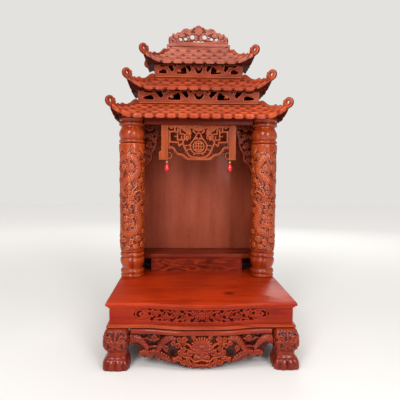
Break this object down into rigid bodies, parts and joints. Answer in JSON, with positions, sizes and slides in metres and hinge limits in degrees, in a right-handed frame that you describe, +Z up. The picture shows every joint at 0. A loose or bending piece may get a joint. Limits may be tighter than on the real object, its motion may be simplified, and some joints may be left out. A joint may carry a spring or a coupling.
{
  "type": "household altar cabinet",
  "caption": "Carved hardwood household altar: low base on lion-paw legs, a niche between dragon columns, and tiered tiled roofs with pierced galleries and a crest.",
  "frame": {"origin": "on the floor under the middle of the cabinet", "axes": "+Z up, front faces -Y, +X to the right seen from the front"},
  "size_m": [0.6094, 0.5614, 1.0683],
  "materials": {
    "hardwood": "varnished",
    "pale_hardwood": "varnished",
    "panel_wood": "satin",
    "red_lacquer": "gloss",
    "gold_metal": "polished"
  },
  "bodies": {
    "root": {"tabletop": "hardwood", "base_board_front": "hardwood", "base_board_rear": "hardwood", "base_board_left": "hardwood", "base_board_right": "hardwood", "leg_front_left": "hardwood", "leg_front_right": "hardwood", "leg_rear_left": "hardwood", "leg_rear_right": "hardwood", "apron_front": "hardwood", "apron_rear": "hardwood", "apron_left": "hardwood", "apron_right": "hardwood", "column_left": "hardwood", "column_right": "hardwood", "step_riser": "hardwood", "step_board": "hardwood", "lintel": "hardwood", "base_moulding": "pale_hardwood", "lambrequin": "pale_hardwood", "lambrequin_post_left": "pale_hardwood", "lambrequin_post_right": "pale_hardwood", "bracket_left": "pale_hardwood", "bracket_right": "pale_hardwood", "lower_roof": "pale_hardwood", "middle_roof": "pale_hardwood", "top_roof": "pale_hardwood", "hip_lower_front_left": "pale_hardwood", "hip_lower_front_right": "pale_hardwood", "hip_lower_rear_left": "pale_hardwood", "hip_lower_rear_right": "pale_hardwood", "hip_middle_front_left": "pale_hardwood", "hip_middle_front_right": "pale_hardwood", "hip_middle_rear_left": "pale_hardwood", "hip_middle_rear_right": "pale_hardwood", "hip_top_front_left": "pale_hardwood", "hip_top_front_right": "pale_hardwood", "hip_top_rear_left": "pale_hardwood", "hip_top_rear_right": "pale_hardwood", "lower_gallery_front": "pale_hardwood", "lower_gallery_rear": "pale_hardwood", "lower_gallery_left": "pale_hardwood", "lower_gallery_right": "pale_hardwood", "upper_gallery_front": "pale_hardwood", "upper_gallery_rear": "pale_hardwood", "upper_gallery_left": "pale_hardwood", "upper_gallery_right": "pale_hardwood", "ridge_bar": "pale_hardwood", "ridge_cap_left": "pale_hardwood", "ridge_cap_right": "pale_hardwood", "crest": "pale_hardwood", "side_panel_left": "panel_wood", "side_panel_right": "panel_wood", "back_panel": "panel_wood", "ceiling_board": "panel_wood", "drop_bulb_left": "red_lacquer", "drop_bulb_right": "red_lacquer", "drop_bead_left": "gold_metal", "drop_bead_right": "gold_metal"}
  },
  "joints": []
}
